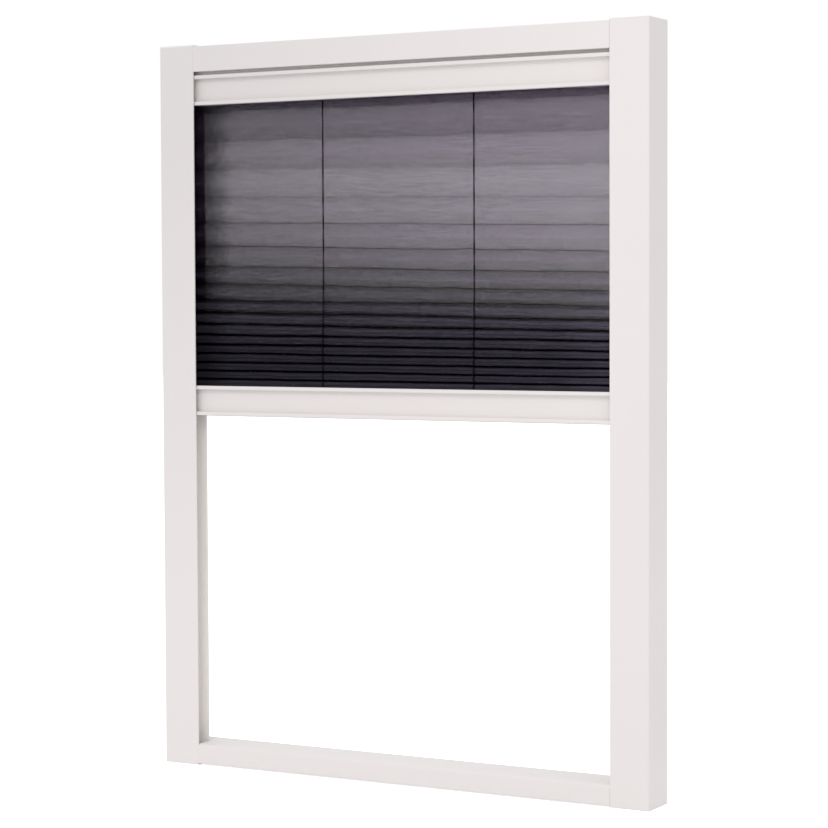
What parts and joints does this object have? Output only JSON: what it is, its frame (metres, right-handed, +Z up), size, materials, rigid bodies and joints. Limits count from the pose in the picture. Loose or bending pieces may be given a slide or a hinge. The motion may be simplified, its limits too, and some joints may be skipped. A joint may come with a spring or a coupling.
{
  "type": "window screen frame",
  "caption": "Pleated insect screen in a white aluminium frame, with a grip bar that slides up and down and draws a dark folding net.",
  "frame": {"origin": "middle of the footprint, on the surface that the frame's lower end caps stand on", "axes": "+Z up, +X to the right seen from the room, +Y from the room side to the back"},
  "size_m": [0.592, 0.046, 0.8],
  "materials": {
    "white_powder_coat": "semi-gloss warm white powder coat on extruded aluminium",
    "white_plastic": "satin moulded plastic",
    "grey_plastic": "matt glass-filled plastic",
    "strip_plastic": "matt extruded plastic",
    "pile_seal": "short dense pile",
    "zinc_steel": "zinc plated",
    "ferrule_metal": "plain crimped",
    "dark_net": "dark grey plastic mesh, matt",
    "black_cord": "braided, matt"
  },
  "bodies": {
    "frame": {"left_rail": "white_powder_coat", "right_rail": "white_powder_coat", "cap_bottom_left": "white_plastic", "cap_bottom_right": "white_plastic", "cap_top_left": "white_plastic", "cap_top_right": "white_plastic", "head_rail": "white_powder_coat", "sill_rail": "white_powder_coat", "head_connector_left": "grey_plastic", "head_connector_right": "grey_plastic", "sill_connector_left": "grey_plastic", "sill_connector_right": "grey_plastic", "head_screws": "zinc_steel", "sill_screws": "zinc_steel", "top_bar": "white_powder_coat", "top_bar_end_left": "grey_plastic", "top_bar_end_right": "grey_plastic", "joining_strip": "strip_plastic", "net_strip_upper": "strip_plastic", "pleated_net": "dark_net", "cord_net_left": "black_cord", "cord_net_right": "black_cord", "cord_side_left": "black_cord", "cord_side_right": "black_cord", "cord_ferrules": "ferrule_metal", "cord_anchor_left": "grey_plastic", "cord_anchor_right": "grey_plastic"},
    "lower_bar": {"lower_bar": "white_powder_coat", "lower_bar_end_left": "grey_plastic", "lower_bar_end_right": "grey_plastic", "lower_bar_seal": "pile_seal", "net_strip_lower": "strip_plastic", "cord_bar_left": "black_cord", "cord_bar_right": "black_cord"}
  },
  "joints": [
    {"name": "lower_bar_slide", "type": "slide", "parent": "frame", "child": "lower_bar", "axis": [0, 0, 1], "range_m": [-0.366, 0.2835], "deforming": ["pleated_net", "cord_net_left", "cord_net_right", "cord_side_left", "cord_side_right"]}
  ]
}
